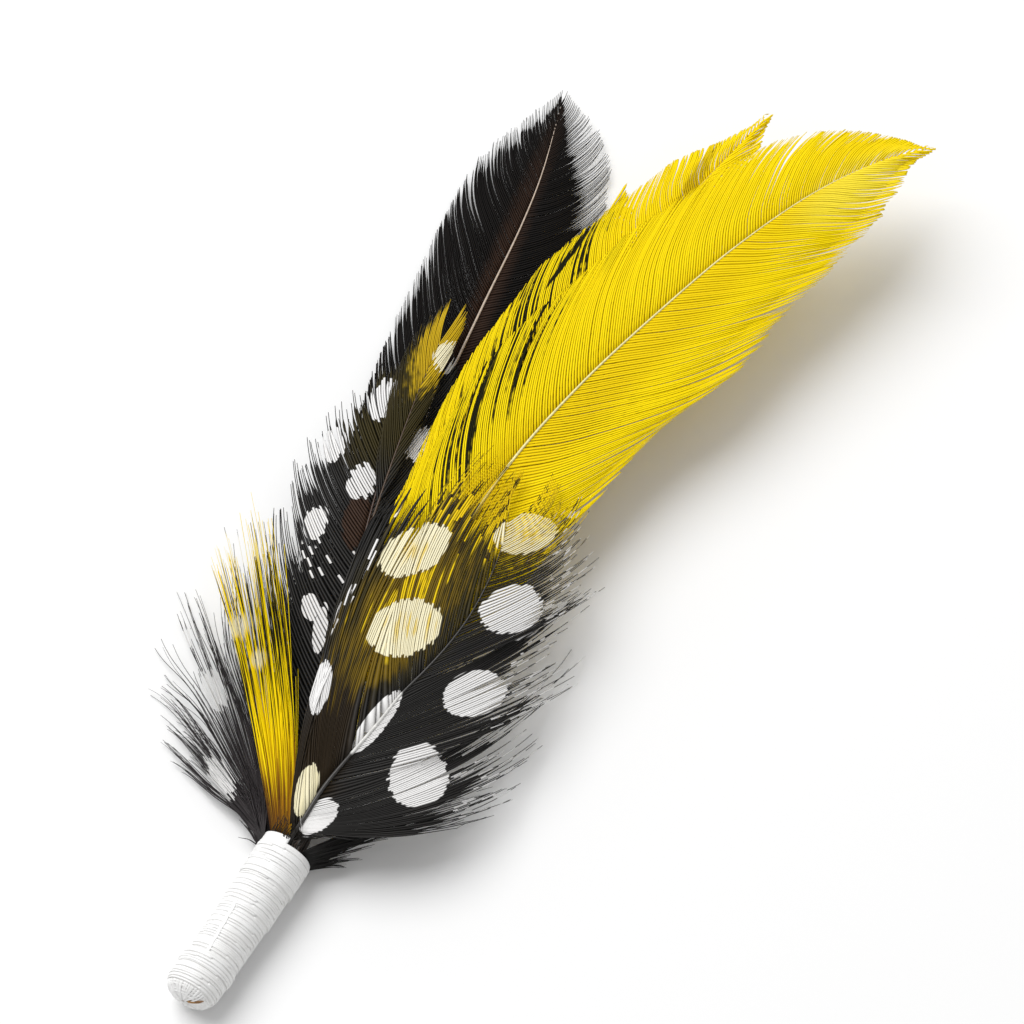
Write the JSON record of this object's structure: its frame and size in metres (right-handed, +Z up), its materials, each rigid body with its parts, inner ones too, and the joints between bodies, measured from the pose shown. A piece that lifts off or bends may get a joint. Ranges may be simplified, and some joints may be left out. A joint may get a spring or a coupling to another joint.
{
  "type": "tied feather trim",
  "caption": "Flat spray of white-spotted, black and yellow feathers whose stems are bound in a white wound-thread sleeve; a trim that lies on a surface.",
  "frame": {"origin": "on the surface that the spray lies on, under the middle of its bounding box", "axes": "+Y along the stems from the binding to the feather tips, +X to the right of the front feather, +Z up"},
  "size_m": [0.0462, 0.12, 0.0131],
  "materials": {
    "thread": "satin white wound thread",
    "spotted_barbs": "satin black-brown barbs with white spots",
    "black_barbs": "satin brown-black barbs",
    "yellow_barbs": "satin dyed yellow barbs"
  },
  "bodies": {
    "root": {"thread_binding": "thread", "black_feather": "black_barbs", "spotted_side_tuft": "spotted_barbs", "spotted_back_feather": "spotted_barbs", "spotted_left_feather": "spotted_barbs", "spotted_front_feather": "spotted_barbs", "yellow_small_feather": "yellow_barbs", "yellow_side_tuft": "yellow_barbs", "yellow_back_feather": "yellow_barbs", "yellow_middle_feather": "yellow_barbs", "yellow_front_feather": "yellow_barbs"}
  },
  "joints": []
}
